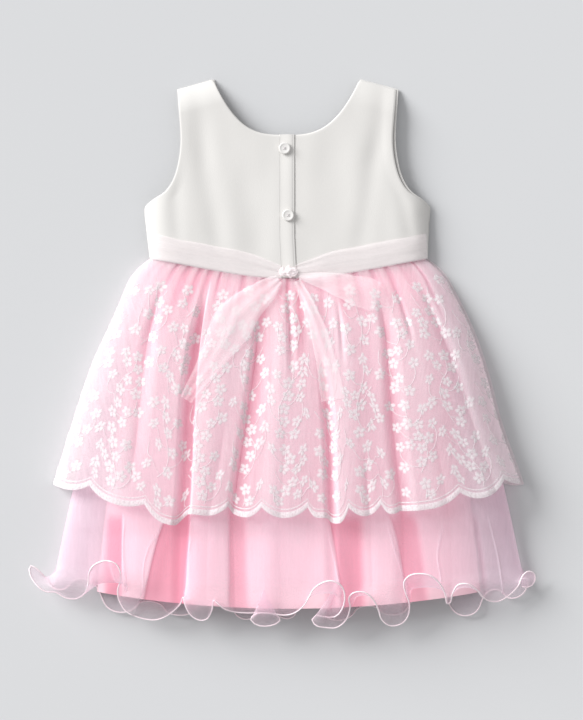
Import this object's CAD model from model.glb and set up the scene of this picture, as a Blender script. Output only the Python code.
"""The looks of a toddler's party dress that lies on its front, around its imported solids.

Cloth is worked out in millimetres in the dress's own plan: X to the right, Y towards the neck, Z up
from the surface that it lies on. place() turns that plan into the frame's metres.
"""
import math

import bpy
import numpy as np
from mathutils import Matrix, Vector


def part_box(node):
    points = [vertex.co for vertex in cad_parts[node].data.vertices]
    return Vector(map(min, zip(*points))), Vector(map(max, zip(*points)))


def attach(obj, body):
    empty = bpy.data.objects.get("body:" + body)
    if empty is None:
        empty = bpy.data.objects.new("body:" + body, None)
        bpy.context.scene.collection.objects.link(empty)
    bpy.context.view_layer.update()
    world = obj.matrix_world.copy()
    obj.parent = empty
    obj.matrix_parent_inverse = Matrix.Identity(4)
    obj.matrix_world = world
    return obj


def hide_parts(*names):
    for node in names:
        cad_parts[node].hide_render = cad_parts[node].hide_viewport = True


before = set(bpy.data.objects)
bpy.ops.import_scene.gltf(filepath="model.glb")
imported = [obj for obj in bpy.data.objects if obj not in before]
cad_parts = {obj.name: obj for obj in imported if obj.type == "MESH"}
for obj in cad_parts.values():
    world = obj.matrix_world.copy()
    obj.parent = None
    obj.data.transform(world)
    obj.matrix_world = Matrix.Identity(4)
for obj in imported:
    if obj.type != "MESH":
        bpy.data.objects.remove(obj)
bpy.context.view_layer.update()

rng = np.random.default_rng(7)

# Sizes that the solids are made to, in millimetres
PLY = 1.3
PIECE_GAP = 0.3
BODICE_LEAN = -2.0
NECK_HALF = 69.4
SHOULDER_HALF = 104.0
NECK_TIP_Y = 260.8
SHOULDER_TIP_Y = 251.3
BACK_NECK_Y = 207.6
FRONT_NECK_Y = 182.0
NECK_POWER = 2.9
SHOULDER_START = 0.66
UNDERARM_HALF = 135.0
WAIST_HALF = 132.3
WAIST_SIDE_Y = 90.5
WAIST_CENTRE_Y = 71.5
FRONT_PEEK = 1.6
ARMHOLE_PEEK = 1.4
SEAM_DROP = 0.3
BACK_THICK = 0.7
FRONT_THICK = 1.0
PLACKET_THICK = 0.9
SIDE_LINE = [
    (90.5, 132.3), (106, 133.4), (122, 134.4), (138.3, 135), (142, 132.4), (147, 126), (154, 115.6),
    (166, 107.7), (183, 102.8), (202, 100.8), (222, 101.8), (239, 103.2), (251.3, 104),
]
BODICE_CROWN = [(71.5, 11), (140, 11), (208, 9), (261, 8)]
BODICE_SIDE_POWER = 14
# Soft folds of the bodice's back: top, foot, half width and depth
BODICE_FOLDS = [
    (-108, 172, -104, 112, 8, 1.0), (-84, 205, -66, 108, 11, 1.1), (-38, 170, -28, 100, 13, 0.6),
    (86, 205, 72, 110, 10, 1.1), (106, 168, 117, 112, 8, 1.0), (40, 185, 34, 105, 13, 0.6),
    (-86, 252, -78, 190, 9, 0.6), (92, 250, 84, 190, 9, 0.6),
]
PLACKET_LEFT = -6.9
PLACKET_RIGHT = 7.6
UNDERLAP = -0.14
# How finely the larger sheets are drawn: columns and rows
SATIN_MESH = (380, 120)
TULLE_MESH = (800, 90)
FRONT_TULLE_MESH = (360, 50)
OVERLAY_MESH = (640, 140)
FRONT_OVERLAY_COLUMNS = 240
BUTTON_RADIUS = 5.6
BUTTON_HEIGHT = 2.6
BUTTON_DISH = 0.38
BUTTON_SEAT = 0.75
HOLE_ASIDE = 0.95
THREAD_REACH = 1.35
BUTTONS = {"button_top": (-4.0, 194.8), "button_waist": (-0.6, 131.2)}
SASH_WIDTH = 23.0
SASH_KNOT_WIDTH = 8.0
SASH_NARROWS = 60.0

# The skirt's layers: half width by height, and height of the back's middle by depth below the waist
OVERLAY = {
    "seat": PLY,
    "outline": [(90.5, 132.3), (80, 145), (68, 154), (20, 177.5), (-54, 202.5), (-120, 223), (-160, 234)],
    "crown": [(0, 16.0), (30, 25), (70, 33), (130, 41), (230, 47)],
    "hem": (-155.5, 31.0, 2.4),
    "round": (0.28, 0.28),
    "folds": 0.72,
    "lean": 1.0,
    "dips": [(-0.46, 0.16, 0.035, 12.0), (0.185, 0.03, 0.05, 6.0)],
    "lower": 0.0,
}
TULLE = {
    "seat": 2 * PLY,
    "outline": [
        (90.5, 129), (80, 138), (68, 145.5), (20, 166), (-54, 187), (-135, 206.6), (-207, 222), (-250, 230),
    ],
    "crown": [(0, 13.6), (30, 20), (70, 25), (130, 32), (230, 37), (320, 36)],
    "hem": (-218.0, 16.0, 2.0),
    "round": (0.46, 0.34),
    "folds": 0.62,
    "lean": 0.6,
    "dips": [],
    "lower": 1.0,
}
SATIN = {
    "seat": 3 * PLY,
    "outline": [(90.5, 121), (80, 129), (68, 134), (20, 148), (-54, 160), (-140, 173), (-240, 184)],
    "crown": [(0, 9.2), (30, 15), (70, 19.5), (130, 25.5), (230, 29), (320, 28)],
    "hem": (-242.0, 15.5, 2.0),
    "round": (0.62, 0.46),
    "folds": 0.5,
    "lean": 0.15,
    "dips": [],
    "lower": 1.0,
}

# Long folds of the skirt. Place at the waist and at the hem as shares of the half width; half width, depth,
# start and end of the valley below the waist; how gently its left and right walls slope; and how far the
# panel beside it leans over
FOLDS = [
    (-0.52, -0.43, 6.0, 9.0, 5, 400, 5.0, 1.8, -2.0),
    (-0.13, -0.222, 4.6, 7.0, 25, 400, 6.0, 10.0, 3.0),
    (0.165, 0.176, 4.2, 7.0, 60, 400, 5.0, 2.8, 2.0),
    (0.54, 0.463, 5.6, 6.5, 8, 400, 7.0, 9.0, 3.0),
    (-0.80, -0.66, 3.5, 6.0, 4, 230, 10.0, 11.0, 0.0),
    (0.78, 0.88, 3.0, 4.0, 0, 400, 9.0, 9.0, 0.0),
    (0.27, 0.285, 2.4, 4.0, 12, 100, 3.6, 3.0, 1.5),
    (0.0, 0.03, 3.4, 5.0, 2, 110, 3.6, 4.0, 1.5),
    (-0.31, -0.33, 2.4, 3.5, 0, 60, 3.0, 3.0, 0.0),
    (0.655, 0.63, 2.8, 4.5, 6, 90, 3.6, 3.5, 1.5),
    (-0.20, -0.33, 2.0, 2.2, 120, 400, 8.0, 5.0, 0.0),
    (0.0, -0.03, 2.0, 2.2, 110, 400, 9.0, 9.0, 0.0),
    (0.33, 0.335, 1.5, 2.8, 150, 400, 5.0, 5.0, 0.0),
    (0.64, 0.66, 2.0, 2.2, 130, 400, 9.0, 9.0, 0.0),
]
# Deep pink valleys of the layers below the overlay: places of the left and right edge where the overlay
# ends and at the skirt's hem, how soft each edge is, and how strong the valley is
LOWER_VALLEYS = [
    (-171, -175, -157.5, -158.5, 8.0, 1.5, 1.0),
    (-113, -139, -92.0, -99.5, 1.8, 1.8, 1.0),
    (-57, -57, -41.0, -38.0, 2.5, 9.0, 0.6),
    (36, 50, 69.0, 73.0, 1.8, 11.0, 0.9),
    (93, 113, 121.0, 134.0, 1.8, 10.0, 0.75),
    (172, 186, 178.0, 193.0, 5.0, 7.0, 0.4),
]
LOWER_TOP = -154.0
LOWER_FOOT = -243.0
LOWER_DEPTH = 2.2
FOLD_START = 55.0
LEAN_REACH = 14.0
GATHERS = 27
GATHER_HEIGHT = 1.1
GATHER_LENGTH = 85.0

# Points between the scallops of the back's hem: place across, and how far the point rises
SCALLOP_CUSPS = [
    (-240, 4), (-191, 10), (-138, 10), (-95, 1), (-60, 10), (-26, 10), (18, 10), (36, 1), (57, 10), (88, 10),
    (104, 2), (164, 10), (210, 10), (252, 5),
]
SCALLOP_WIDTH = 50.0
SCALLOP_DEPTH = 10.0
SCALLOP_BORDER = 5.2
# Rows of the overlay in its border, by height above the hem
BORDER_ROWS = (10.5, 9.2, 8.6, 8.0, 7.4, 6.5, 5.5, 4.4, 3.2, 1.9, 0.8, 0)
NET_PEEK = 3.2
# The net's holes are about 0.9 mm wide, and its plain weave hides these shares of what is under one ply
NET_HOLE = 0.9
OVERLAY_HIDES = 0.45
TULLE_HIDES = 0.39
SASH_HIDES = 0.36

# Edge of the back's curled hem, from left to right: place across and along the dress, and how far it
# rises above the cloth that it hangs from
CURLS = [
    (-224, -222, 6), (-232, -212, 10), (-241, -203, 12), (-246, -202, 10), (-245, -211, 6),
    (-239, -220, 2), (-231, -226, -2), (-221, -227, -5), (-212, -232, -8), (-202, -233, -10),
    (-194, -228, -8), (-190, -218, -2), (-189, -208, 6), (-185, -201, 12), (-178, -197, 15),
    (-171, -196, 16), (-163, -199, 15), (-159, -207, 11), (-159, -214, 5), (-162, -224, -3),
    (-161, -234, -9), (-154, -245, -13), (-141, -251, -15), (-127, -253, -15), (-114, -248, -13),
    (-103, -238, -9), (-100, -231, -5), (-98, -239, -9), (-93, -248, -13), (-85, -253, -14),
    (-78, -252, -13), (-73, -244, -10), (-71, -234, -3), (-67, -237, -3), (-61, -242, -6),
    (-52, -245, -9), (-41, -246, -10), (-26, -246, -12), (-12, -248, -13), (-8, -253, -14),
    (-16, -258, -14), (-29, -258, -13), (-36, -252, -11), (-31, -247, -9), (-19, -246, -8),
    (-5, -248, -8), (5, -246, -6), (14, -239, -2), (20, -229, 4), (24, -222, 10), (33, -216, 15),
    (42, -215, 16), (50, -220, 13), (53, -230, 7), (51, -241, 0), (45, -249, -6), (35, -250, -9),
    (26, -248, -10), (22, -252, -11), (26, -258, -12), (35, -260, -13), (45, -260, -13), (54, -253, -10),
    (58, -241, -2), (57, -231, 5), (62, -226, 9), (72, -226, 9), (80, -233, 4), (85, -243, -4),
    (88, -252, -10), (95, -258, -13), (103, -258, -14), (110, -254, -13), (114, -246, -10),
    (114, -236, -4), (110, -225, 4), (109, -216, 10), (114, -210, 14), (123, -208, 16), (134, -210, 16),
    (143, -218, 12), (148, -228, 6), (150, -237, 0), (153, -236, 0), (155, -227, 6), (160, -219, 11),
    (169, -218, 13), (178, -224, 8), (184, -231, 1), (191, -235, -4), (200, -235, -6), (211, -228, -4),
    (218, -220, 0), (222, -211, 5), (227, -207, 8), (233, -209, 7), (234, -216, 4), (229, -222, 1),
    (222, -222, -1),
]
CURL_STEP = 1.0
CORD_RADIUS = 0.7
# The tulle's own area as a share of its flat box, which it fills less towards the waist
CURL_BLUR = 46
# Creases of the back's tulle that run up from its curls: points across and along the dress
CREASES = [
    [(-113, -157), (-131, -181), (-137, -200), (-138, -226)],
    [(-155, -152), (-157, -186), (-154, -219)],
    [(148, -157), (141, -190), (144, -212)],
    [(-206, -130), (-219, -180), (-224, -215)],
    [(188, -150), (198, -190), (203, -222)],
    [(-91, -168), (-96, -195), (-99, -222)],
    [(36, -163), (42, -190), (49, -222)],
    [(92, -158), (100, -185), (112, -222)],
]
CURL_DROP = 20.0
CURL_SPREAD = 0.035
FRONT_HEM_Y = -232.0
FRONT_HEM_RISE = 30.0
FRONT_CURL_PITCH = 52.0
FRONT_CURL_SWING = 1.3
FRONT_CURL_REACH = 14.0
FRONT_CURL_LIFT = 5.0
FRONT_SATIN_SHORTER = 14.0

KNOT = (-0.5, 76.5)
KNOT_HALF = (10.5, 7.0, 4.2)
# How much of the knot's solid the bunched net fills, and how much it hides of what is under it
KNOT_FILLS = (0.86, 0.72, 0.55)
KNOT_COVER = 0.6
TAIL_LEFT = [(-9, 70, 10), (-26, 56, 26), (-49, 35, 38), (-64, 9, 32), (-81, -19, 20), (-97, -44, 13)]
TAIL_RIGHT = [(8, 69, 8), (18, 48, 12), (29, 18, 16), (37, -15, 20), (42, -44, 23)]
LOOP = [(10, 73, 6), (28, 70, 14), (47, 65, 22), (63, 60, 28), (76, 56, 31), (84, 54, 27)]
LOOP_OPEN = 4.5

# Where the dress's own plan lies in the frame
low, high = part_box("button_top")
PLAN_X = (low.x + high.x) / 2 * 1000 - BUTTONS["button_top"][0]
PLAN_Y = (low.y + high.y) / 2 * 1000 - BUTTONS["button_top"][1]


def place(points):
    """Points of the plan, in millimetres, as the frame's metres."""
    return (np.asarray(points, float) + (PLAN_X, PLAN_Y, 0.0)) / 1000


# Curves and steps
def mix(a, b, share):
    """A share of the way from one value to another."""
    return a + (b - a) * share


def smooth(value):
    """Eases from 0 to 1 as a value does, and stays there."""
    share = np.clip(value, 0, 1)
    return share * share * (3 - 2 * share)


def bump(away, wide):
    """1 in the middle of a rounded rise, falling towards 0 a few half widths away from it."""
    return np.exp(-((away / wide) ** 2))


def curve(rows):
    """A smooth function through a table's (key, value) rows."""
    keys, values = np.array(sorted(rows), float).T
    before = np.maximum(np.arange(len(keys)) - 1, 0)
    after = np.minimum(np.arange(len(keys)) + 1, len(keys) - 1)
    slopes = (values[after] - values[before]) / (keys[after] - keys[before])
    at = np.linspace(keys[0], keys[-1], 900)
    i = np.clip(np.searchsorted(keys, at, side="right") - 1, 0, len(keys) - 2)
    span = keys[i + 1] - keys[i]
    t = (at - keys[i]) / span
    fine = (
        (2 * t**3 - 3 * t**2 + 1) * values[i]
        + (t**3 - 2 * t**2 + t) * span * slopes[i]
        + (3 * t**2 - 2 * t**3) * values[i + 1]
        + (t**3 - t**2) * span * slopes[i + 1]
    )
    return lambda where: np.interp(where, at, fine)


def soft_noise(x, y, size, seed, stretch=1.0):
    """Slow, seeded hills between -1 and 1, about size millimetres apart, longer along Y by stretch."""
    source = np.random.default_rng(seed)
    total = np.zeros(np.broadcast(x, y).shape)
    for _ in range(7):
        turn = source.uniform(0, math.tau)
        length = size * source.uniform(0.7, 1.5)
        phase = source.uniform(0, math.tau)
        across = x * math.cos(turn) + y * math.sin(turn) / stretch
        total = total + np.cos(math.tau * across / length + phase)
    return total / 3.2


for layer in (OVERLAY, TULLE, SATIN):
    layer["half_at"] = curve(layer["outline"])
    layer["crown_at"] = curve(layer["crown"])
bodice_crown = curve(BODICE_CROWN)
side_line = curve(SIDE_LINE)


def waist_y(x):
    """Height of the waist seam, which sags in the middle."""
    share = np.clip(np.abs(x) / WAIST_HALF, 0, 1)
    return WAIST_CENTRE_Y + (WAIST_SIDE_Y - WAIST_CENTRE_Y) * share**2 * (1.9 - 0.9 * share)


def sash_top_y(x):
    """Height of the sash's upper edge, which narrows towards the knot."""
    near = 1 - np.clip(np.abs(x) / SASH_NARROWS, 0, 1)
    return waist_y(x) + mix(SASH_WIDTH, SASH_KNOT_WIDTH, near**2.2)


def lean(points):
    """Leans the bodice aside above the waist, as it lies."""
    above = np.clip((points[..., 1] - waist_y(points[..., 0])) / 40, 0, 1)
    points[..., 0] += BODICE_LEAN * above
    return points


# The bodice
def bodice_plan(across, y_row, neck_y):
    """Plan of a bodice panel, by share of its half width and by height of its side."""
    half = side_line(y_row)
    share = (y_row - WAIST_SIDE_Y) / (SHOULDER_TIP_Y - WAIST_SIDE_Y)
    waist_x = across * WAIST_HALF
    on_neck = across < SHOULDER_START
    along = np.where(on_neck, across / SHOULDER_START, (across - SHOULDER_START) / (1 - SHOULDER_START))
    top_x = np.where(on_neck, along * NECK_HALF, mix(NECK_HALF, SHOULDER_HALF, along))
    top_y = np.where(
        on_neck,
        neck_y + (NECK_TIP_Y - neck_y) * np.clip(along, 0, 1) ** NECK_POWER,
        mix(NECK_TIP_Y, SHOULDER_TIP_Y, along),
    )
    bulge = half - mix(WAIST_HALF, SHOULDER_HALF, share)
    return mix(waist_x, top_x, share) + bulge * across**3, mix(waist_y(waist_x), top_y, share)


def sash_lift(x, y):
    """How far the sash's front band lifts the bodice above it, less towards the neck."""
    return PLY * (1 - smooth((y - waist_y(x) - 10) / 90))


def bodice_back_z(x, y):
    """Height of the bodice's back: a crown that falls away at the sides and the shoulders."""
    side = 1 - np.clip(np.abs(x) / (UNDERARM_HALF + 1), 0, 1) ** BODICE_SIDE_POWER
    shoulder_y = NECK_TIP_Y - (np.abs(x) - NECK_HALF) * 0.2746
    shoulder = 1 - (1 - np.clip((shoulder_y - y) / 25, 0, 1)) ** 2
    return 3.3 + sash_lift(x, y) + bodice_crown(y) * side * shoulder


def seam_drop(x, y):
    """How far the waist seam draws the bodice down to the skirt over its last millimetres."""
    return SEAM_DROP * smooth(1 - (y - waist_y(x)) / 16)


def bodice_softness(x, y):
    """The soft folds that the crepe falls into between the armholes and the waist."""
    total = 0.25 * soft_noise(x, y, 46, 3, stretch=3.0) + 0.1 * soft_noise(x, y, 19, 4, stretch=3.5)
    for top_x, top_y, low_x, low_y, wide, deep in BODICE_FOLDS:
        along = np.clip((top_y - y) / (top_y - low_y), -0.4, 1.4)
        middle = mix(top_x, low_x, along)
        shown = smooth((along + 0.4) / 0.7) * smooth((1.4 - along) / 0.5)
        total = total - deep * shown * bump(x - middle, wide)
    return total


# The skirt
def waist_place(layer, across):
    """Height of the waist seam at each share of a panel's half width."""
    y = np.full_like(across, WAIST_CENTRE_Y)
    for _ in range(8):
        y = waist_y(across * layer["half_at"](y))
    return y


def hem_dip(layer, across):
    """How far the hem's lobes hang below its plain curve."""
    total = np.zeros_like(across)
    for at, before, after, depth in layer["dips"]:
        total += depth * bump(across - at, np.where(across < at, before, after))
    return total


def hem_y(layer, across):
    centre, rise, power = layer["hem"]
    return centre + rise * np.abs(across) ** power - hem_dip(layer, across)


def floor_drop(y):
    """How far the skirts come down past the overlay's hem, where its front no longer lies under them."""
    return PLY * smooth((OVERLAY["hem"][0] - 5 - y) / 14)


def fold_parts(x, y, down):
    """Each long fold's share of its depth at a place, its depth, its distance there, its lean, and how far
    the cloth beside it is doubled where it turns over sharply."""
    half = OVERLAY["half_at"](y)
    length = WAIST_CENTRE_Y - OVERLAY["hem"][0]
    for waist, hem, spread, depth, start, end, left_wall, right_wall, edge in FOLDS:
        centre = mix(waist, hem, np.clip(down / length, 0, 1) ** 0.7)
        shown = smooth((down - start) / FOLD_START) * (1 - smooth((down - end) / 60 + 1))
        grown = mix(0.5, 1, smooth(down / 130))
        away = (x - centre * half) + 1.2 * np.sin(down / 31 + 40 * waist)
        outside = np.where(away < 0, -away / left_wall, away / right_wall) / grown
        outside = outside - np.where(away < 0, spread / left_wall, spread / right_wall)
        gap = np.abs(away) / grown - spread
        sharp = np.where(away < 0, left_wall < 3.2, right_wall < 3.2) * min(1, depth / 8)
        turned = shown * sharp * bump(gap - 4.5, 4.5)
        yield shown * (1 - smooth((outside + 1) / 2)), depth, away, edge * shown, turned


def lower_valleys(x, y):
    """How deep a place lies in the valleys of the layers below the overlay."""
    share = np.clip((LOWER_TOP - y) / (LOWER_TOP - LOWER_FOOT), 0, 1)
    total = np.zeros(np.broadcast(x, y).shape)
    for left_top, left_foot, right_top, right_foot, left_soft, right_soft, strength in LOWER_VALLEYS:
        left = mix(left_top, left_foot, share**0.6)
        right = mix(right_top, right_foot, share)
        inside = smooth((x - left) / left_soft + 0.5) * smooth((right - x) / right_soft + 0.5)
        total = np.maximum(total, strength * inside)
    return total * smooth((LOWER_TOP + 14 - y) / 14)


def gathers_at(across, down):
    """How deep the uneven little pleats are that the waist seam gathers the cloth into."""
    source = np.random.default_rng(12)
    total = np.zeros(np.broadcast(across, down).shape)
    for i in range(GATHERS):
        at = (i + source.uniform(0.15, 0.85)) / GATHERS * 2 - 1
        wide = source.uniform(0.009, 0.022)
        deep = 0.2 + 1.3 * source.uniform(0, 1) ** 1.4
        length = source.choice((35, 55, 80, 120), p=(0.3, 0.3, 0.25, 0.15))
        drift = source.uniform(-0.015, 0.015)
        pleat = bump(across - at - drift * down / 60, wide * (1 + down / 90))
        total += deep * (1 - smooth(down / length)) * pleat
    return total


def ripples(across, down):
    """Softer waves that the gathers run into."""
    inside = smooth((1 - np.abs(across)) * 7)
    fine = 0.12 * (1 - smooth(down / 160)) * np.cos(math.pi * 31 * across + 2 * np.sin(7 * across))
    middle = 0.7 * smooth(down / 35) * (1 - 0.45 * smooth(down / 260))
    middle = middle * np.cos(math.pi * 11.4 * across + 1.7 * np.sin(4 * across + 1) + down / 90)
    broad = 1.1 * smooth(down / 70) * np.cos(math.pi * 5.3 * across + 2.2 * np.sin(2.3 * across) + down / 160)
    return inside * (fine + middle + broad)


def crown_height(layer, away, down):
    """How far a back panel's smooth crown stands above its seat."""
    rounding = mix(*layer["round"], smooth(down / 80))
    return (layer["crown_at"](down) - layer["seat"]) * (1 - away**3) ** rounding


def layer_grid(layer, across, y, top):
    """A back panel by share of its half width and by height: its points, with its folds leaning over, how
    hollow it is there and how far it is doubled."""
    x = across * layer["half_at"](y)
    down = top - y
    away = np.clip(np.abs(across), 0, 1)
    inside = smooth((1 - away) * 6)
    drop = gathers_at(across, down)
    hollow = drop + 0.2 * (1 - smooth(down / 50))
    doubled, shift = np.zeros_like(x), np.zeros_like(x)
    for share, depth, distance, edge, turned in fold_parts(x, y, down):
        drop = drop + depth * share
        hollow = np.maximum(hollow, share * min(1, depth / 7))
        doubled = np.maximum(doubled, turned)
        shift += edge * (1 - share) * bump(distance, LEAN_REACH)
    waves = ripples(across, down)
    hollow = hollow - 0.16 * waves
    hollow = np.clip(hollow, 0, 1) * inside
    if layer["lower"]:
        below = smooth((OVERLAY["hem"][0] + 8 - y) / 14)
        valleys = lower_valleys(x, y)
        hollow = mix(0.75 * hollow, mix(0.7 * hollow, valleys, 0.8), below)
        drop = mix(drop, valleys * LOWER_DEPTH / layer["folds"], 0.6 * below)
        doubled = doubled * (1 - below)
    doubled = np.maximum(doubled, 0.6 * smooth(waves / 1.6))
    seat = layer["seat"] - floor_drop(y)
    z = np.maximum(seat + crown_height(layer, away, down) + (waves - drop) * layer["folds"] * inside, seat)
    return np.stack([x + shift * layer["lean"] * inside, y, z, hollow, doubled * inside], -1)


def back_panel(layer, columns, rows):
    """A back panel from the waist to its hem, in even rows."""
    across = np.linspace(-1, 1, columns)
    top = waist_place(layer, across) - PIECE_GAP
    y = mix(top[None, :], hem_y(layer, across)[None, :], np.linspace(0, 1, rows)[:, None])
    return layer_grid(layer, np.broadcast_to(across, y.shape), y, top[None, :])


def lengths_along(points):
    """How far each point lies along a line of points."""
    steps = np.linalg.norm(np.diff(points, axis=0), axis=1)
    return np.concatenate([[0], np.cumsum(steps)])


def headings(line):
    """The direction of a line at each of its points."""
    run = np.gradient(line, axis=0)
    return run / np.maximum(np.linalg.norm(run, axis=1, keepdims=True), 1e-9)


def spread_evenly(points, step):
    """Points a step apart on a smooth line through a few."""
    points = np.array(points, float)
    keys = lengths_along(points[:, :2])
    at = np.linspace(0, keys[-1], max(4, int(keys[-1] / step)))
    return np.stack([curve(list(zip(keys, column)))(at) for column in points.T], -1)


def scallop(x, cusps):
    """How far each place on the hem rises above its scallop's lowest point."""
    at, rise = np.array(cusps, float).T
    turn = np.interp(x, at, np.arange(len(at)))
    nearest = np.round(turn).astype(int)
    return rise[nearest] * np.abs(2 * (turn % 1) - 1) ** 2.2


# Meshes
def srgb(text):
    """A hex sRGB colour as the linear colour that a shader takes."""
    parts = [int(text[i : i + 2], 16) / 255 for i in (1, 3, 5)]
    linear = [c / 12.92 if c <= 0.04045 else ((c + 0.055) / 1.055) ** 2.4 for c in parts]
    return (*linear, 1.0)


def new_object(name, points, faces, material, cloth=None, cover=None):
    """A smooth mesh from plan points. cloth is where each point lies on the flat cloth, in millimetres."""
    mesh = bpy.data.meshes.new(name)
    points = place(points)
    faces = np.asarray(faces, np.int32)
    mesh.vertices.add(len(points))
    mesh.vertices.foreach_set("co", points.astype(np.float32).ravel())
    corners = faces.shape[1]
    mesh.loops.add(faces.size)
    mesh.loops.foreach_set("vertex_index", faces.ravel())
    mesh.polygons.add(len(faces))
    mesh.polygons.foreach_set("loop_start", np.arange(0, faces.size, corners, dtype=np.int32))
    if cloth is not None:
        layer = mesh.uv_layers.new(name="cloth")
        layer.data.foreach_set("uv", np.asarray(cloth, np.float32)[faces.ravel()].ravel() / 10)
    mesh.update(calc_edges=True)
    mesh.validate()
    mesh.shade_smooth()
    mesh.materials.append(material)
    made = bpy.data.objects.new(name, mesh)
    if cover is not None:
        add_field(made, "cover", cover)
    bpy.context.scene.collection.objects.link(made)
    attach(made, "root")
    return made


def dress(made, node):
    """Puts a piece in the place of its solid, with the record's material slot."""
    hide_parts(node)


def ring_faces(rings, sides):
    """Faces of a tube of rings, each joined to the next."""
    at = np.arange(rings * sides).reshape(rings, sides)
    right = np.roll(at, -1, axis=1)
    return np.stack([at[:-1], right[:-1], right[1:], at[1:]], -1).reshape(-1, 4)


def grid_faces(rows, columns):
    at = np.arange(rows * columns).reshape(rows, columns)
    quads = np.stack([at[1:, :-1], at[1:, 1:], at[:-1, 1:], at[:-1, :-1]], -1)
    return quads.reshape(-1, 4)


def cloth_of(grid):
    """Where a grid's points lie on the flat cloth, by length along its rows and columns."""
    steps_x = np.linalg.norm(np.diff(grid, axis=1), axis=2)
    steps_y = np.linalg.norm(np.diff(grid, axis=0), axis=2)
    u = np.concatenate([np.zeros((grid.shape[0], 1)), np.cumsum(steps_x, 1)], 1)
    v = np.concatenate([np.zeros((1, grid.shape[1])), np.cumsum(steps_y, 0)], 0)
    u = u - u[:, grid.shape[1] // 2 : grid.shape[1] // 2 + 1]
    return np.stack([u, -v], -1)


def normals_of(grid):
    along_x = np.gradient(grid, axis=1)
    along_y = np.gradient(grid, axis=0)
    normal = np.cross(along_y, along_x)
    return normal / np.maximum(np.linalg.norm(normal, axis=-1, keepdims=True), 1e-9)


def add_field(made, name, values):
    attribute = made.data.attributes.new(name, "FLOAT", "POINT")
    attribute.data.foreach_set("value", np.asarray(values, np.float32).ravel())


def side_plies(grid):
    """The net's extra plies towards the side seams, where it hangs in from the edge: more on the right."""
    across = np.linspace(-1, 1, grid.shape[1])[None, :]
    return np.where(across < 0, 0.4, 1.3) * smooth((np.abs(across) - 0.7) / 0.3)


def grid_object(name, grid, material, cloth, cover=None):
    """A grid of points as an object."""
    faces = grid_faces(*grid.shape[:2])
    return new_object(name, grid.reshape(-1, 3), faces, material, cloth.reshape(-1, 2), cover)


def sheet_object(name, grid, material, fullness=1.0, single=0.4, hollow=0.0, drawn_flat=0.32):
    """A cloth grid as an object. A sheer cloth hides more where it is gathered or stands on edge, and less
    where a hollow draws it flat."""
    tilt = 1 / np.clip(np.abs(normals_of(grid)[..., 2]), 0.42, 1)
    cover = 1 - (1 - single) ** (fullness * tilt * mix(1.0, drawn_flat, smooth(hollow)))
    made = grid_object(name, grid, material, cloth_of(grid), cover)
    add_field(made, "hollow", np.broadcast_to(hollow, cover.shape))
    return made


def tube(name, path, radius, material, sides=8):
    """A round cord along a line of points."""
    path = np.asarray(path, float)
    tangent = headings(path)
    normal = np.zeros_like(path)
    side = np.cross(tangent[0], (0, 0, 1.0))
    side /= np.linalg.norm(side)
    for i, t in enumerate(tangent):
        side = side - t * side.dot(t)
        side /= np.linalg.norm(side)
        normal[i] = side
    other = np.cross(tangent, normal)
    turn = np.linspace(0, math.tau, sides, endpoint=False)
    ring = normal[:, None] * np.cos(turn)[None, :, None] + other[:, None] * np.sin(turn)[None, :, None]
    points = path[:, None] + radius * ring
    cloth = np.stack(np.broadcast_arrays(lengths_along(path)[:, None], turn[None, :]), -1).reshape(-1, 2)
    return new_object(name, points.reshape(-1, 3), ring_faces(len(path), sides), material, cloth)


# Materials
def add_node(tree, kind, settings=None, inputs=None):
    """A shader node with its settings and its sockets' values or links."""
    node = tree.nodes.new("ShaderNode" + kind)
    for key, value in (settings or {}).items():
        setattr(node, key, value)
    for key, value in (inputs or {}).items():
        if isinstance(value, bpy.types.NodeSocket):
            tree.links.new(value, node.inputs[key])
        else:
            node.inputs[key].default_value = value
    return node


def cloth_place(tree, wide, tall):
    """The flat cloth's place, counted in repeats of wide by tall millimetres. The map is in centimetres."""
    flat = add_node(tree, "UVMap", {"uv_map": "cloth"}).outputs[0]
    scaled = add_node(tree, "VectorMath", {"operation": "MULTIPLY"}, {0: flat, 1: (10 / wide, 10 / tall, 1)})
    return scaled.outputs[0]


def dyed(name, look, shades, repeat=None, deep=None, scale=1.0, detail=2.0):
    """A material, its tree, its shader and its colour. The colour wanders between two shades over each
    repeat of the flat cloth, and may deepen in hollows, where light bounces from pink to pink."""
    material = bpy.data.materials.new(name)
    material.use_nodes = True
    tree = material.node_tree
    tree.nodes.clear()
    shader = add_node(tree, "BsdfPrincipled", inputs=look)
    add_node(tree, "OutputMaterial", inputs={0: shader.outputs[0]})
    where = cloth_place(tree, *repeat) if repeat else add_node(tree, "TexCoord").outputs["Object"]
    drift = add_node(tree, "TexNoise", inputs={"Vector": where, "Scale": scale, "Detail": detail})
    blend = {0: drift.outputs[0], 6: srgb(shades[0]), 7: srgb(shades[1])}
    colour = add_node(tree, "Mix", {"data_type": "RGBA"}, blend).outputs[2]
    if deep:
        hollow = add_node(tree, "Attribute", {"attribute_name": "hollow"}).outputs["Fac"]
        blend = {0: hollow, 6: colour, 7: srgb(deep)}
        colour = add_node(tree, "Mix", {"data_type": "RGBA"}, blend).outputs[2]
    tree.links.new(colour, shader.inputs["Base Color"])
    return material, tree, shader, colour


def woven(tree, shader, threads, strength, depth):
    """Gives a cloth the relief of its threads, to a depth in metres."""
    relief = add_node(tree, "Bump", inputs={"Height": threads, "Strength": strength, "Distance": depth})
    tree.links.new(relief.outputs[0], shader.inputs["Normal"])


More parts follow.
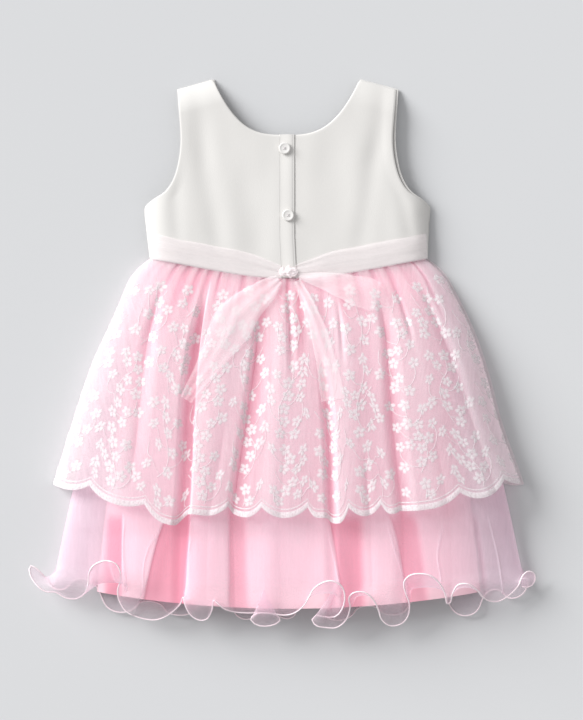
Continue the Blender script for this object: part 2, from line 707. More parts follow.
def thread_waves(tree, repeat, direction, distortion=1.0):
    """Threads across the cloth: one wave for each repeat."""
    settings = {"bands_direction": direction, "wave_type": "BANDS"}
    inputs = {"Scale": math.pi / 10, "Distortion": distortion, "Detail": 1.0, "Detail Scale": 2.0}
    inputs["Vector"] = cloth_place(tree, *repeat)
    return add_node(tree, "TexWave", settings, inputs).outputs["Fac"]


def grain_of(tree, repeat, detail=3.0, roughness=0.6):
    """Fine uneven grain, about one speck for each repeat."""
    inputs = {"Scale": 1.0, "Detail": detail, "Roughness": roughness}
    return add_node(tree, "TexNoise", inputs={"Vector": cloth_place(tree, *repeat), **inputs}).outputs[0]


def show_through(tree, share, threads):
    """Threads over a share of the surface, and what lies under the cloth over the rest."""
    holes = add_node(tree, "BsdfTransparent").outputs[0]
    surface = add_node(tree, "MixShader", inputs={0: share, 1: holes, 2: threads.outputs[0]})
    tree.links.new(surface.outputs[0], tree.nodes["Material Output"].inputs[0])


# Ivory polyester crepe: matt, a fine pebbled grain and a soft bloom at its edges.
def crepe_cloth():
    look = {"Roughness": 0.78, "Sheen Weight": 0.25, "Sheen Roughness": 0.4, "Specular IOR Level": 0.3}
    material, tree, shader, _ = dyed("ivory_crepe", look, ("#d2d0cd", "#d7d5d2"), (60, 90))
    # Crepe threads are 0.25 mm apart; the grain is drawn at 1.1 mm, which a picture at this size can hold
    woven(tree, shader, grain_of(tree, (1.1, 1.6)), 0.35, 0.0004)
    return material


# Duchess satin in pink: smooth floats along the skirt give it a broad, soft gloss.
def pink_satin():
    look = {
        "Roughness": 0.42, "Sheen Weight": 0.2, "Sheen Roughness": 0.3, "Anisotropic": 0.4,
        "Specular IOR Level": 0.45,
    }
    shades = ("#f9cfd9", "#fcdae2")
    material, tree, shader, _ = dyed("pink_satin", look, shades, (45, 130), deep="#f29eb3", detail=3.0)
    # Floats are 0.2 mm apart; they are drawn 0.9 mm apart so that they show
    woven(tree, shader, thread_waves(tree, (0.9, 9), "X", 1.5), 0.12, 0.0003)
    return material


# Nylon net: holes between fine threads, so it hides little flat on and more where it bunches. The threads
# pass on a share of the light, glow, so the layers under it stay bright. Bunched threads run down the cloth
# in streaks about 4 mm apart, streak strong.
def net_cloth(name, shades, deep, streak, glow):
    look = {"Roughness": 0.7, "Sheen Weight": 0.3, "Sheen Roughness": 0.35, "Specular IOR Level": 0.3}
    material, tree, shader, colour = dyed(name, look, shades, (40, 90), deep)
    through = add_node(tree, "BsdfTranslucent", inputs={"Color": colour}).outputs[0]
    threads = add_node(tree, "MixShader", inputs={0: glow, 1: shader.outputs[0], 2: through})
    inputs = {"Vector": cloth_place(tree, NET_HOLE, NET_HOLE), "Scale": 1.0, "Randomness": 0.35}
    cells = add_node(tree, "TexVoronoi", {"feature": "DISTANCE_TO_EDGE"}, inputs).outputs[0]
    inputs = {"Value": cells, "From Min": 0.02, "From Max": 0.3, "To Min": 1.3, "To Max": 0.8}
    mesh = add_node(tree, "MapRange", inputs=inputs).outputs[0]
    bunches = {"Value": grain_of(tree, (4.0, 40)), "From Min": 0.3, "From Max": 0.7}
    inputs = {**bunches, "To Min": 1 - streak, "To Max": 1 + streak}
    streaks = add_node(tree, "MapRange", inputs=inputs).outputs[0]
    weave = add_node(tree, "Math", {"operation": "MULTIPLY"}, {0: mesh, 1: streaks}).outputs[0]
    cover = add_node(tree, "Attribute", {"attribute_name": "cover"}).outputs["Fac"]
    hides = add_node(tree, "Math", {"operation": "MULTIPLY", "use_clamp": True}, {0: cover, 1: weave})
    show_through(tree, hides.outputs[0], threads)
    return material


# Rayon embroidery thread: soft white with a silky gloss. A little of the net shows between its stitches.
def embroidery_thread():
    look = {"Roughness": 0.5, "Sheen Weight": 0.3, "Sheen Roughness": 0.3, "Specular IOR Level": 0.3}
    material, tree, shader, _ = dyed("white_embroidery_thread", look, ("#e3dddf", "#eae5e7"), (14, 14))
    woven(tree, shader, thread_waves(tree, (0.8, 6), "X", 0.6), 0.2, 0.0002)
    patches = grain_of(tree, (2.2, 2.2), detail=1.0, roughness=0.5)
    inputs = {"Value": patches, "From Min": 0.3, "From Max": 0.6, "To Min": 0.52, "To Max": 0.8}
    show_through(tree, add_node(tree, "MapRange", inputs=inputs).outputs[0], shader)
    return material


# Nylon cord rolled into the tulle's edge: pale pink, shinier than the net.
def rolled_cord():
    look = {"Roughness": 0.35, "Sheen Weight": 0.2, "Specular IOR Level": 0.5}
    material, tree, shader, _ = dyed("hem_cord", look, ("#fde6ee", "#fff4f7"), (20, 20))
    woven(tree, shader, thread_waves(tree, (1.2, 1.2), "DIAGONAL"), 0.3, 0.0003)
    return material


# Moulded polyester buttons: glossy white with a faint pearl.
def button_plastic():
    look = {"Roughness": 0.3, "Coat Weight": 0.25, "Coat Roughness": 0.15, "IOR": 1.5}
    return dyed("white_button_plastic", look, ("#d8d6d3", "#dfdddb"), scale=300.0)[0]


# The shade inside a button's holes, matt and a little darker.
def hole_shade():
    return dyed("button_hole", {"Roughness": 0.6}, ("#c2bfbc", "#ccc9c6"))[0]


# The studio's pale paper surface
def paper_surface():
    look = {"Roughness": 0.9, "Specular IOR Level": 0.1}
    return dyed("pale_paper", look, ("#cbccce", "#cdcecf"), scale=3.0)[0]


CREPE = crepe_cloth()
SATIN_CLOTH = pink_satin()
OVERLAY_NET = net_cloth("overlay_net", ("#fff9fb", "#fff5f8"), "#fcdce6", 0.12, 0.54)
SKIRT_TULLE = net_cloth("pink_tulle", ("#fdf1f9", "#fbe9f3"), "#f9c3d6", 0.06, 0.58)
SASH_TULLE = net_cloth("sash_tulle", ("#fffafb", "#fff6f8"), "#fbe6ec", 0.06, 0.25)
THREAD = embroidery_thread()
CORD = rolled_cord()
BUTTON_PLASTIC = button_plastic()
HOLE_SHADE = hole_shade()


# Pieces of the bodice
def bodice_rows(count):
    return np.linspace(SHOULDER_TIP_Y, WAIST_SIDE_Y, count)


def rolled_edge(grid, edge_distance):
    """A turned edge: the cloth bends down over its last millimetres."""
    grid[..., 2] -= 0.4 * bump(edge_distance, 1.2)
    return grid


def edge_spaced(count, first=0.0, last=1.0):
    """Shares from first to last that lie closer together towards both ends."""
    t = np.linspace(0, 1, count)
    return mix(first, last, t - 0.13 * np.sin(math.tau * t))


def bodice_back(side):
    rows = bodice_rows(110)
    across = edge_spaced(90, 1.0, 0.0) if side < 0 else edge_spaced(98, UNDERLAP, 1.0)
    u, y_row = np.meshgrid(across, rows)
    x, y = bodice_plan(np.abs(u), y_row, BACK_NECK_Y)
    if side < 0:
        moved = -x + (PLACKET_LEFT + 2.0) * (1 - u) ** 2
        y = y + waist_y(moved) - waist_y(x)
        x = moved
        under = smooth((x - PLACKET_LEFT - 0.2) / 1.6) * 0.45
    else:
        x = np.sign(u) * x
        under = 1 - smooth((x - PLACKET_RIGHT + 3.2) / 3.0)
    z = bodice_back_z(x, y) - seam_drop(x, y) - 2.3 * under
    z = z + bodice_softness(x, y) * smooth((1 - np.abs(u)) * 7)
    armhole = (1 - np.abs(u)) * 110
    neck = (SHOULDER_TIP_Y - y_row) * np.where(np.abs(u) < SHOULDER_START, 1, 4)
    grid = rolled_edge(np.stack([x, y, z], -1), np.minimum(armhole, neck + 0.001))
    return lean(grid)


def bodice_front():
    rows = bodice_rows(60)
    u, y_row = np.meshgrid(edge_spaced(110, -1.0, 1.0), rows)
    x, y = bodice_plan(np.abs(u), y_row, FRONT_NECK_Y)
    x = np.sign(u) * x
    lifted = 0.95 * smooth((u - 0.86) / 0.12) * smooth((y - 105) / 45)
    z = mix(1.2 + sash_lift(x, y), np.maximum(bodice_back_z(x, y) - 1.6, 1.2), lifted)
    peek = FRONT_PEEK * smooth((y - WAIST_SIDE_Y) / 60) * (1 - 0.4 * smooth((y - 190) / 50))
    peek = peek + ARMHOLE_PEEK * smooth((u - 0.5) / 0.5) * smooth((y - 128) / 30)
    return lean(np.stack([x + peek, y, z], -1))


def thicken(made, thickness):
    """A cloth's own thickness, with its seam allowances, below its outer face."""
    shell = made.modifiers.new("thickness", "SOLIDIFY")
    shell.thickness = thickness / 1000
    shell.offset = -1
    shell.use_even_offset = False
    return made


def build_bodice():
    for side, name in ((-1, "bodice_back_left"), (1, "bodice_back_right")):
        made = thicken(sheet_object(name + "_cloth", bodice_back(side), CREPE), BACK_THICK)
        dress(made, name)
    made = thicken(sheet_object("bodice_front_cloth", bodice_front(), CREPE), FRONT_THICK)
    dress(made, "bodice_front")


def build_placket():
    share, x = np.meshgrid(edge_spaced(120), np.linspace(PLACKET_LEFT, PLACKET_RIGHT, 26), indexing="ij")
    y = mix(BACK_NECK_Y + 0.4, waist_y(x) + 0.4, share)
    across = (x - PLACKET_LEFT) / (PLACKET_RIGHT - PLACKET_LEFT)
    edge = np.minimum(across, 1 - across) * (PLACKET_RIGHT - PLACKET_LEFT)
    stitched = 0.25 * bump(edge - 1.6, 0.5)
    left = smooth((x - PLACKET_LEFT) / 11.0)
    z = bodice_back_z(x, y) - seam_drop(x, y) + bodice_softness(x, y)
    z = z + mix(-0.1, 0.9, left) - stitched * left
    grid = rolled_edge(np.stack([x, y, z], -1), PLACKET_RIGHT - x + 0.2)
    made = thicken(sheet_object("placket_cloth", lean(grid), CREPE), PLACKET_THICK)
    dress(made, "placket")


def lathe(name, profile, centre, tilt, material, sides=40):
    """A turned form from (radius, height) rows round a tilted axis."""
    profile = np.array(profile, float)
    turn = np.linspace(0, math.tau, sides, endpoint=False)
    radius, height = profile[:, :1], profile[:, 1:]
    points = np.stack(np.broadcast_arrays(radius * np.cos(turn), radius * np.sin(turn), height), -1)
    y, z = points[..., 1].copy(), points[..., 2].copy()
    points[..., 1] = y * math.cos(tilt) - z * math.sin(tilt)
    points[..., 2] = y * math.sin(tilt) + z * math.cos(tilt)
    return new_object(name, points.reshape(-1, 3) + centre, ring_faces(len(profile), sides), material)


def build_buttons():
    half = BUTTON_HEIGHT / 2
    dish = half - BUTTON_DISH
    profile = [
        (0.02, -half), (4.7, -half), (5.4, -half + 0.5), (BUTTON_RADIUS, 0.2), (5.5, half - 0.35),
        (5.1, half), (4.5, half), (3.9, half - 0.12), (3.4, half - 0.3), (2.6, dish), (0.02, dish),
    ]
    for name, (x, y) in BUTTONS.items():
        slope = float(bodice_back_z(x, y + 5) - bodice_back_z(x, y - 5)) / 10
        tilt = math.atan(slope)
        z = float(bodice_back_z(x, y)) + BUTTON_SEAT + half
        made = lathe(name + "_disc", profile, (x, y, z), tilt, BUTTON_PLASTIC)
        dress(made, name)
        for i, (dx, dy) in enumerate(((-1, -1), (1, -1), (-1, 1), (1, 1))):
            dx, dy = dx * HOLE_ASIDE, dy * HOLE_ASIDE
            hole = [(0.02, 0.05), (0.45, 0.05), (0.55, 0.0), (0.02, 0.0)]
            spot = (x + dx, y + dy, z + dish + 0.02 + dy * slope)
            lathe(f"{name}_hole_{i}", hole, spot, tilt, HOLE_SHADE, sides=12)
        t = np.linspace(-1, 1, 13)
        for i, turn in enumerate((math.pi / 4, -math.pi / 4)):
            aside, up = THREAD_REACH * t * math.cos(turn), THREAD_REACH * t * math.sin(turn)
            line = np.stack([x + aside, y + up, z + dish + 0.35 * (1 - t**4) + up * slope], -1)
            tube(f"{name}_thread_{i}", line, 0.28, THREAD, sides=6)


# The sash
def sash_band(side):
    """Half of the band on the back: net folded into long soft creases from the side seam to the knot."""
    from_knot = np.linspace(7, WAIST_HALF - 0.5, 150)
    share, from_knot = np.meshgrid(np.linspace(0, 1, 34), from_knot, indexing="ij")
    x = side * (from_knot if side > 0 else from_knot[:, ::-1])
    creases = 0.4 * np.sin(share * 11 + x / 34 + 1.2 * np.sin(x / 23 + side))
    creases += 0.2 * np.sin(share * 21 - x / 25 + side)
    edge_wave = 0.5 * soft_noise(x, x * 0, 33, 22)
    y = mix(sash_top_y(x) + edge_wave, waist_y(x) - 0.8, share)
    gather = smooth((50 - np.abs(x)) / 50)
    raised = mix(1.1, 0.9, share) - seam_drop(x, y)
    z = bodice_back_z(x, y) + raised + creases * mix(0.2, 0.9, gather) + 0.2 * np.sin(math.pi * share)
    return np.swapaxes(lean(np.stack([x, y, z], -1)), 0, 1)[:, ::-1]


def build_sash():
    for side, name in ((-1, "sash_back_left"), (1, "sash_back_right")):
        made = sheet_object(name + "_net", sash_band(side), SASH_TULLE, fullness=1.5, single=SASH_HIDES)
        dress(made, name)
    share, x = np.meshgrid(np.linspace(0, 1, 14), np.linspace(-WAIST_HALF, WAIST_HALF, 120), indexing="ij")
    z = 0.5 + 0.3 * np.sin(share * 14 + x / 24) * smooth(share * 6) * smooth((1 - share) * 6)
    grid = np.stack([x, waist_y(x) + mix(SASH_WIDTH, 0.4, share), z], -1)
    made = sheet_object("sash_front_net", grid, SASH_TULLE, fullness=2.2, single=0.5)
    dress(made, "sash_front")


def build_knot():
    turn, rise = np.meshgrid(np.linspace(0, math.tau, 97), np.linspace(0.001, math.pi - 0.001, 48))
    direction = np.stack([np.cos(rise), np.sin(rise) * np.cos(turn), np.sin(rise) * np.sin(turn)], -1)
    pleats = 1 + 0.12 * np.sin(4 * direction[..., 0] + 6 * turn + 1.8 * np.sin(3 * turn)) * np.sin(rise)
    pinch = 1 - 0.1 * bump(direction[..., 0] + 0.25, 0.3)
    pinch = pinch * (1 + 0.22 * soft_noise(direction[..., 0] * 9, np.cos(turn) * 5, 5, 31) * np.sin(rise))
    scale = np.stack([np.ones_like(pinch), pinch * pleats, pinch * pleats], -1)
    z = float(bodice_back_z(*KNOT)) + KNOT_FILLS[2] * KNOT_HALF[2] + 1.1
    grid = direction * scale * KNOT_HALF * KNOT_FILLS + (KNOT[0], KNOT[1] + 0.8, z)
    cover = np.full(grid.shape[:2], KNOT_COVER)
    made = grid_object("sash_knot_net", grid, SASH_TULLE, cloth_of(grid), cover)
    dress(made, "sash_knot")


def rest_z(x, y):
    """A height just above the overlay's gathers and folds, and above the band beside the knot."""
    down = np.maximum(0, waist_y(x) - y)
    crown = crown_height(OVERLAY, np.clip(np.abs(x) / OVERLAY["half_at"](y), 0, 1), down)
    over_band = 2.6 * (1 - smooth(down / 12))
    return OVERLAY["seat"] + crown + GATHER_HEIGHT * (1 - smooth(down / GATHER_LENGTH)) + over_band


def strip_grid(rows, pleats, lift, swell, seed):
    """A length of sash along its own line. Its pleats fan out from the knot."""
    rows = np.array(rows, float)
    keys = np.linspace(0, 1, len(rows))
    line_x, line_y, line_width = (curve(list(zip(keys, rows[:, i]))) for i in range(3))
    share, edge = np.meshgrid(np.linspace(0, 1, 110), np.linspace(-1, 1, 44), indexing="ij")
    step = 0.01
    run_x = line_x(share + step) - line_x(share - step)
    run_y = line_y(share + step) - line_y(share - step)
    run = np.hypot(run_x, run_y)
    fringe = 1 + 0.06 * soft_noise(share * 60, edge * 9, 16, seed)
    offset = edge * line_width(share) / 2 * fringe
    x = line_x(share) - run_y / run * offset
    y = line_y(share) + run_x / run * offset
    depth = mix(0.35, 0.5, smooth(share * 2)) * (1 - 0.3 * smooth(share * 2 - 1))
    folds = np.sin(edge * math.pi * pleats / 2 + seed + 0.8 * np.sin(share * 5 + seed))
    soft = swell * (1 - edge**2) * np.sin(math.pi * share)
    z = rest_z(x, y) + lift * share + PLY + soft + depth * (folds + 1) * 0.7
    z += 0.25 * soft_noise(x, y, 30, seed + 5)
    return np.stack([x, y, z], -1)


def sheer(grid, end):
    """How many plies hide what is under a tail: fewer towards its end."""
    share = np.linspace(0, 1, grid.shape[0])[:, None]
    return np.broadcast_to(mix(1.3, end, smooth(share * 1.2)), grid.shape[:2])


def build_tails():
    plans = [
        ("sash_tail_left", TAIL_LEFT, 5, 0.0, 1.0, 0.6, (0.045, 0.15), 0.0048),
        ("sash_tail_right", TAIL_RIGHT, 4, 0.0, 1.0, 0.7, (0.028, 0.125), 0.0026),
        ("sash_loop", LOOP, 3, LOOP_OPEN, 3.0, 0.55, (0.034, 0.075), 0.0019),
    ]
    for seed, (name, rows, pleats, lift, swell, end, flat, area) in enumerate(plans):
        grid = strip_grid(rows, pleats, lift, swell, seed + 1)
        made = sheet_object(name + "_net", grid, SASH_TULLE, fullness=sheer(grid, end), single=SASH_HIDES)
        dress(made, name)


# The satin skirt
def build_satin():
    grid = back_panel(SATIN, *SATIN_MESH)
    made = sheet_object("satin_back_cloth", grid[..., :3], SATIN_CLOTH, hollow=grid[..., 3])
    dress(made, "satin_back")
    across = np.linspace(-1, 1, 90)
    hem = hem_y(SATIN, across) + FRONT_SATIN_SHORTER
    made = sheet_object("satin_front_cloth", front_grid(SATIN, across, 40, hem, 2 * PLY + 0.5), SATIN_CLOTH)
    dress(made, "satin_front")


def front_grid(layer, across, rows, hem, height):
    """A front panel, flat on what is under it."""
    top = waist_place(layer, across) - PIECE_GAP
    y = mix(top[None, :], hem[None, :], np.linspace(0, 1, rows)[:, None])
    x = across[None, :] * layer["half_at"](y)
    return np.stack([x, y, height - floor_drop(y)], -1)


# The tulle skirt
def curled_edge(start_x):
    """The curled edge's place and rise for each place along the cloth that it hangs from. A quarter of that
    cloth is shared out by the edge's length, so that its tightest curls get their cloth too."""
    edge = spread_evenly(CURLS, CURL_STEP)
    padded = np.pad(edge[:, 0], CURL_BLUR, mode="edge")
    window = np.hanning(2 * CURL_BLUR + 1)
    middle = np.convolve(padded, window / window.sum(), mode="valid")
    forward = np.maximum(np.diff(middle, prepend=middle[0]), 0)
    even = np.full(len(edge), 1 / len(edge))
    base = np.cumsum(mix(forward / forward.sum(), even, 0.24))
    base = start_x[0] + (base - base[0]) / (base[-1] - base[0]) * (start_x[-1] - start_x[0])
    return [np.interp(start_x, base, column) for column in edge.T]


def crease_field(x, y):
    """1 on the tulle's creases, falling to 0 within about a millimetre."""
    near = np.zeros_like(x)
    for points in CREASES:
        line = spread_evenly(points, 2.0)
        order = np.argsort(line[:, 1])
        at_x = np.interp(y, line[order, 1], line[order, 0])
        inside = smooth((line[:, 1].max() - y) / 20) * (y > line[:, 1].min() - 6)
        near = np.maximum(near, inside * bump(x - at_x, 0.8))
    return near


def tulle_back_grid():
    body = back_panel(TULLE, *TULLE_MESH)
    start = body[-1]
    end_x, end_y, rise = curled_edge(start[:, 0])
    inside = smooth((1 - np.abs(np.linspace(-1, 1, TULLE_MESH[0]))) * 14)
    end_z = np.maximum(start[:, 2] + rise * mix(0.3, 1, inside), 3 * PLY)
    end = np.stack([end_x, end_y, end_z, 0.15 + 0 * end_x, 0 * end_x], -1)
    turn = start + (0, -CURL_DROP, 2.0, 0, 0)
    turn[:, 0] = mix(start[:, 0], end_x, 0.5)
    t = np.linspace(0, 1, 30)[1:, None, None]
    curl = start * (1 - t) ** 2 + turn * 2 * t * (1 - t) + end * t**2
    return np.concatenate([body, curl], 0)


def tulle_front_grid():
    across = np.linspace(-1, 1, FRONT_TULLE_MESH[0])
    hem = FRONT_HEM_Y + FRONT_HEM_RISE * np.abs(across) ** 3.2
    body = front_grid(TULLE, across, FRONT_TULLE_MESH[1], hem, PLY + 0.5)
    start = body[-1]
    t = np.linspace(0, 1, 24)[1:, None]
    x = start[:, 0][None, :]
    wave = math.tau * x / FRONT_CURL_PITCH + 0.9 * np.sin(x / 37) + 0.5 * np.sin(x / 17 + 1)
    heading = FRONT_CURL_SWING * np.sin(wave)
    step = np.gradient(x[0]) / np.cos(heading).mean()
    aside = np.cumsum((np.cos(heading) - np.cos(heading).mean()) * step, axis=1)
    outwards = np.cumsum((np.sin(heading) - np.sin(heading).mean()) * step, axis=1)
    outwards = (outwards - outwards.mean()) * (0.55 + 0.2 * np.sin(x / 31 + 2))
    lift = FRONT_CURL_LIFT * (0.5 + 0.5 * np.sin(wave + 1)) * t**2
    end_x = x + aside * t + CURL_SPREAD * across**4 * x * t
    end_y = start[:, 1][None, :] - FRONT_CURL_REACH * t + outwards * t**1.5
    curl = np.stack([end_x, end_y, start[:, 2][None, :] + lift], -1)
    return np.concatenate([body, curl], 0)


def build_tulle():
    plans = (
        ("tulle_back", tulle_back_grid(), (0.56, 0.335), "gathered"),
        ("tulle_front", tulle_front_grid(), (0.47, 0.33), "laid"),
    )
    for name, grid, flat, held in plans:
        cord = tube(name + "_hem_cord", grid[-1, :, :3], CORD_RADIUS, CORD)
        hollow = 0.0
        ruffle = smooth((-210 - grid[..., 1]) / 14)
        plies = mix(1.5 + side_plies(grid), 0.75, ruffle)
        if name == "tulle_back":
            hollow = grid[..., 3]
            crease = crease_field(grid[..., 0], grid[..., 1])
            plies = plies + 2.0 * crease + grid[..., 4]
            grid[..., 2] += 0.7 * crease
        net = (name + "_net", grid[..., :3], SKIRT_TULLE)
        made = sheet_object(*net, fullness=plies, single=TULLE_HIDES, hollow=hollow)
        dress(made, name)


# The embroidered overlay. A sprig is one repeat of the embroidery, in millimetres on the flat net.
SPRIG_WIDTH = 54.0
SPRIG_HEIGHT = 76.0
SPRIG_STEMS = [
    [(2, 0), (10, 12), (12, 26), (6, 40), (-3, 52), (-4, 66)],
    [(11, 16), (20, 20), (26, 29), (24, 40)],
    [(10, 31), (1, 31), (-8, 35), (-15, 44)],
    [(2, 46), (10, 50), (16, 59)],
    [(5, 5), (-7, 7), (-15, 15), (-16, 26)],
    [(-3, 53), (-13, 56), (-20, 64)],
]
FLOWER_RADIUS = 5.6
FLOWER_GAP = 9.8
FLOWER_ASIDE = 4.6
PETALS = 5
EMBROIDERY_TOP = 34.0
STEM_WIDTH = 0.75
STEM_STEP = 1.4
STEM_RAISE = 0.3
STITCH_RAISE = 0.15
STITCH_SEAT = 0.25


class Net:
    """The overlay's surface, read by where a stitch lies on the flat net."""

    def __init__(self, grid):
        self.grid = grid
        self.normal = normals_of(grid)
        self.hem_length = lengths_along(grid[-1])
        self.hem_length -= self.hem_length[-1] / 2
        self.down = -cloth_of(grid)[..., 1]
        self.rows, self.columns = grid.shape[:2]
        self.step_u = np.linalg.norm(np.gradient(grid, axis=1), axis=2)
        self.step_v = np.linalg.norm(np.gradient(grid, axis=0), axis=2)

    def find(self, places):
        """Grid place of each (along the hem, up from it) stitch, and the grid's steps in a millimetre."""
        u = np.interp(places[:, 0], self.hem_length, np.arange(self.columns))
        near = np.clip(np.round(u).astype(int), 0, self.columns - 1)
        v = np.clip(1 - places[:, 1] / self.down[-1, near], 0, 1) * (self.rows - 1)
        per_u, per_v = (1 / np.maximum(self.read(step, u, v), 0.2) for step in (self.step_u, self.step_v))
        return u, v, per_u, per_v

    def read(self, field, u, v):
        u = np.clip(u, 0, self.columns - 1.001)
        v = np.clip(v, 0, self.rows - 1.001)
        i, j = u.astype(int), v.astype(int)
        a, b = u - i, v - j
        if field.ndim == 3:
            a, b = a[..., None], b[..., None]
        top = field[j, i] * (1 - a) + field[j, i + 1] * a
        low = field[j + 1, i] * (1 - a) + field[j + 1, i + 1] * a
        return top * (1 - b) + low * b

    def point(self, u, v, raise_by):
        return self.read(self.grid, u, v) + self.read(self.normal, u, v) * np.asarray(raise_by)[..., None]


# Half width of a petal by distance from the flower's middle
PETAL = [(0.8, 0.5), (2.1, 1.45), (3.6, 2.0), (4.9, 1.65), (5.7, 0.7)]


def petal_shape():
    """One petal: (out, side, raise) rows, three across and one row of them for each width."""
    rows = []
    for out, wide in PETAL:
        for side in (-1, 0, 1):
            rows.append((out, side * wide, STITCH_SEAT + (STITCH_RAISE if side == 0 else 0.0)))
    return np.array(rows)


def flowers_on(net, centres, turns, sizes):
    """Every flower's points and faces. A flower keeps its own size wherever the net is gathered."""
    u0, v0, per_u, per_v = net.find(centres)
    angles = turns[:, None] + np.arange(PETALS) * math.tau / PETALS
    out, side, rise = petal_shape().T
    cos, sin = np.cos(angles)[..., None], np.sin(angles)[..., None]
    scale = sizes[:, None, None]
    a = (out * cos - side * sin) * scale
    b = (out * sin + side * cos) * scale
    u = u0[:, None, None] + a * per_u[:, None, None]
    v = v0[:, None, None] - b * per_v[:, None, None]
    points = net.point(u, v, np.broadcast_to(rise, u.shape))
    cloth = np.stack([np.broadcast_to(out, u.shape), np.broadcast_to(side, u.shape)], -1)
    starts = np.arange(len(centres) * PETALS) * len(out)
    faces = (grid_faces(len(PETAL), 3)[None] + starts[:, None, None]).reshape(-1, 4)
    return points.reshape(-1, 3), faces, cloth.reshape(-1, 2)


def stem_on(net, line, width):
    """A stitched stem: three points across, the middle one raised."""
    run = headings(line)
    u0, v0, per_u, per_v = net.find(line)
    points = []
    for side in (-1, 0, 1):
        u = u0 - run[:, 1] * side * width / 2 * per_u
        v = v0 - run[:, 0] * side * width / 2 * per_v
        points.append(net.point(u, v, np.full(len(line), STITCH_SEAT + (STEM_RAISE if side == 0 else 0))))
    length = lengths_along(line)
    cloth = np.stack([np.stack([length, np.full_like(length, side)], -1) for side in (-1, 0, 1)], 1)
    return np.stack(points, 1), grid_faces(len(line), 3), cloth


def sprig_places(width, height):
    """Where each repeat lies on the net: every other column half a repeat lower, every other sprig turned."""
    columns = int(width / SPRIG_WIDTH) + 3
    for column in range(-columns // 2, columns // 2 + 1):
        start = -SPRIG_HEIGHT * (0.5 if column % 2 else 0.0) + 4
        for row in range(int(height / SPRIG_HEIGHT) + 2):
            flip = -1 if (column + row) % 2 else 1
            yield column * SPRIG_WIDTH, start + row * SPRIG_HEIGHT, flip


def flowers_along(line):
    """Flowers on alternate sides of a stem, and one at its tip."""
    run = headings(line)
    length = lengths_along(line)
    places = [tuple(line[-1])]
    for i, at in enumerate(np.arange(length[-1] - FLOWER_GAP, 3, -FLOWER_GAP * 0.8)):
        near = int(np.argmin(np.abs(length - at)))
        aside = FLOWER_ASIDE if i % 2 else -FLOWER_ASIDE
        places.append((line[near, 0] - aside * run[near, 1], line[near, 1] + aside * run[near, 0]))
    return places


def spaced_out(net, centres):
    """Leaves out each flower that would lie over one before it once the net is gathered."""
    u, v, _, _ = net.find(centres)
    lie = net.read(net.grid, u, v)[:, :2]
    kept = []
    for i, spot in enumerate(lie):
        if not kept or np.min(np.linalg.norm(lie[kept] - spot, axis=1)) > FLOWER_GAP:
            kept.append(i)
    return centres[kept]


def embroidery(name, grid):
    """All the stems and flowers of a panel as one mesh."""
    net = Net(grid)
    width = net.hem_length[-1] * 2
    height = float(net.down[-1].max())
    points, faces, cloth, count = [], [], [], 0
    centres = []
    low_edge = SCALLOP_DEPTH + SCALLOP_BORDER + 5
    for x0, y0, flip in sprig_places(width, height):
        for stem in SPRIG_STEMS:
            line = spread_evenly(stem, STEM_STEP) * (flip, 1) + (x0, y0)
            keep = (line[:, 1] > low_edge - 4) & (line[:, 1] < height - EMBROIDERY_TOP)
            keep &= np.abs(line[:, 0]) < width / 2 - 3
            if keep.sum() < 4:
                continue
            p, f, c = stem_on(net, line[keep], STEM_WIDTH)
            points.append(p.reshape(-1, 3))
            faces.append(f + count)
            cloth.append(c.reshape(-1, 2))
            count += p.shape[0] * 3
            centres += flowers_along(line)
    centres = np.array(centres) + rng.normal(0, 0.6, (len(centres), 2))
    keep = (centres[:, 1] > low_edge) & (centres[:, 1] < height - EMBROIDERY_TOP)
    keep &= np.abs(centres[:, 0]) < width / 2 - FLOWER_RADIUS
    centres = spaced_out(net, centres[keep])
    turns = rng.uniform(0, math.tau, len(centres))
    sizes = rng.uniform(0.88, 1.08, len(centres))
    p, f, c = flowers_on(net, centres, turns, sizes)
    points.append(p)
    faces.append(f + count)
    cloth.append(c)
    return new_object(name, np.concatenate(points), np.concatenate(faces), THREAD, np.concatenate(cloth))


def hem_band(name, grid, net_rows, raise_by):
    """A raised satin stitch band over the grid's last rows."""
    part = grid[net_rows] + normals_of(grid)[net_rows] * np.array(raise_by)[:, None, None]
    length = np.broadcast_to(lengths_along(grid[-1])[None, :], part.shape[:2])
    deep = np.broadcast_to(np.arange(part.shape[0])[:, None], part.shape[:2])
    cloth = np.stack([length, deep], -1)
    return grid_object(name, part, THREAD, cloth)


def overlay_grid(across, hem, point):
    """An overlay panel: even rows down to its border, whose own rows follow the scallops."""
    top = waist_place(OVERLAY, across) - PIECE_GAP
    border = np.array(BORDER_ROWS)[:, None]
    y = mix(top[None, :], (hem + border[0])[None, :], np.linspace(0, 1, OVERLAY_MESH[1])[:, None])
    return point(np.concatenate([y, hem[None, :] + border[1:]], 0), top)


def drawn_in(across, y):
    """How far the overlay's sides lie in from a straight hang: high up on the left, lower on the right."""
    left = 4.0 * smooth((-across - 0.6) / 0.4) * bump(y - 30, 34)
    right = 3.0 * smooth((across - 0.6) / 0.4) * bump(y + 68, 36)
    return left - right


def overlay_fullness(grid):
    """How many times the flat net's width is gathered into each row."""
    lengths = np.linalg.norm(np.diff(grid, axis=1), axis=2).sum(1)
    return np.clip(lengths[-1] / lengths, 1, 1.6)[:, None]


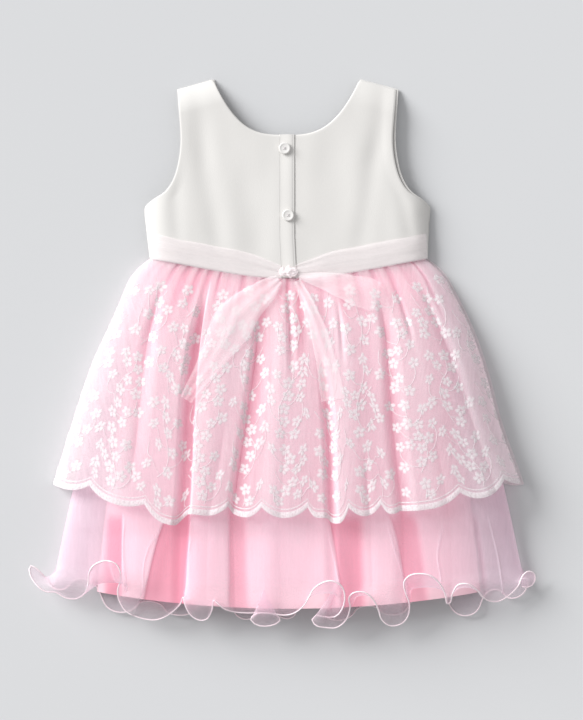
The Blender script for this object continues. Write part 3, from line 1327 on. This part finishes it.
def build_overlay():
    across = np.linspace(-1, 1, OVERLAY_MESH[0])
    plain = hem_y(OVERLAY, across)
    hem = plain + scallop(across * OVERLAY["half_at"](plain), SCALLOP_CUSPS)

    def crowned_point(y, top):
        return layer_grid(OVERLAY, np.broadcast_to(across, y.shape), y, top)

    back = overlay_grid(across, hem, crowned_point)
    back[..., 0] += drawn_in(across, back[..., 1]) - NET_PEEK * smooth((across - 0.75) / 0.25)
    finish_overlay("overlay_back", back[..., :3], hollow=back[..., 3], doubled=back[..., 4])

    across = np.linspace(-1, 1, FRONT_OVERLAY_COLUMNS)
    plain_hem = hem_y(OVERLAY, across) + hem_dip(OVERLAY, across)
    hem = plain_hem + scallop(across * 223, [(x, SCALLOP_DEPTH) for x in np.arange(-250, 260, SCALLOP_WIDTH)])

    def flat_point(y, _top):
        x = across[None, :] * OVERLAY["half_at"](y) + drawn_in(across, y)
        return np.stack([x, y, np.full_like(y, 0.75)], -1)

    front = overlay_grid(across, hem, flat_point)
    finish_overlay("overlay_front", front, outward=-1)


def finish_overlay(name, grid, outward=1, hollow=0.0, doubled=0.0):
    """An overlay panel's net, its stitched border with the inner line, and its embroidery."""
    facing = grid if outward > 0 else grid[:, ::-1]
    border = hem_band(name + "_border", facing, slice(-6, None), (0.15, 0.3, 0.38, 0.38, 0.3, 0.15))
    line = hem_band(name + "_inner_line", facing, slice(-10, -7), (0.15, 0.3, 0.15))
    stitches = embroidery(name + "_embroidery", facing)
    fullness = overlay_fullness(grid) * 1.15 + 1.3 * doubled + side_plies(grid)
    net = (name + "_net", grid, OVERLAY_NET)
    made = sheet_object(*net, fullness=fullness, single=OVERLAY_HIDES, hollow=hollow, drawn_flat=0.55)
    dress(made, name)


# The studio
PIXEL = 0.95
PHOTO_HEIGHT = 720
PHOTO_MIDDLE = (2.6, -6.3)
LENS = 300.0
SENSOR = 36.0
PAPER_REACH = 4.0
PAPER_Z = -0.0002
SKY_STRENGTH = 0.58
WINDOW_STRENGTH = 4.6
WINDOW_SPREAD = 34
WINDOW_TOWARDS = (1.0, -0.62, -0.53)


def build_studio():
    paper = bpy.data.meshes.new("paper")
    corners = [(x * PAPER_REACH, y * PAPER_REACH, PAPER_Z) for x, y in ((-1, -1), (1, -1), (1, 1), (-1, 1))]
    paper.from_pydata(corners, [], [(0, 1, 2, 3)])
    paper.materials.append(paper_surface())
    floor = bpy.data.objects.new("paper", paper)
    bpy.context.scene.collection.objects.link(floor)

    world = bpy.data.worlds.new("studio")
    bpy.context.scene.world = world
    world.use_nodes = True
    sky = world.node_tree.nodes["Background"]
    sky.inputs[0].default_value = (1.0, 1.0, 1.01, 1)
    sky.inputs[1].default_value = SKY_STRENGTH

    window = bpy.data.lights.new("window", "SUN")
    window.energy = WINDOW_STRENGTH
    window.angle = math.radians(WINDOW_SPREAD)
    key = bpy.data.objects.new("window", window)
    key.rotation_euler = Vector(WINDOW_TOWARDS).to_track_quat("-Z", "Y").to_euler()
    bpy.context.scene.collection.objects.link(key)

    view = bpy.data.cameras.new("camera")
    view.lens = LENS
    view.sensor_width = SENSOR
    view.clip_end = 50
    camera = bpy.data.objects.new("camera", view)
    distance = PIXEL * PHOTO_HEIGHT * LENS / SENSOR
    camera.location = place((PHOTO_MIDDLE[0], PHOTO_MIDDLE[1], distance + 12))
    bpy.context.scene.collection.objects.link(camera)
    bpy.context.scene.camera = camera
    bpy.context.scene.view_settings.view_transform = "Standard"
    bpy.context.scene.cycles.transparent_max_bounces = 24


build_bodice()
build_placket()
build_buttons()
build_sash()
build_knot()
build_tails()
build_satin()
build_tulle()
build_overlay()
build_studio()
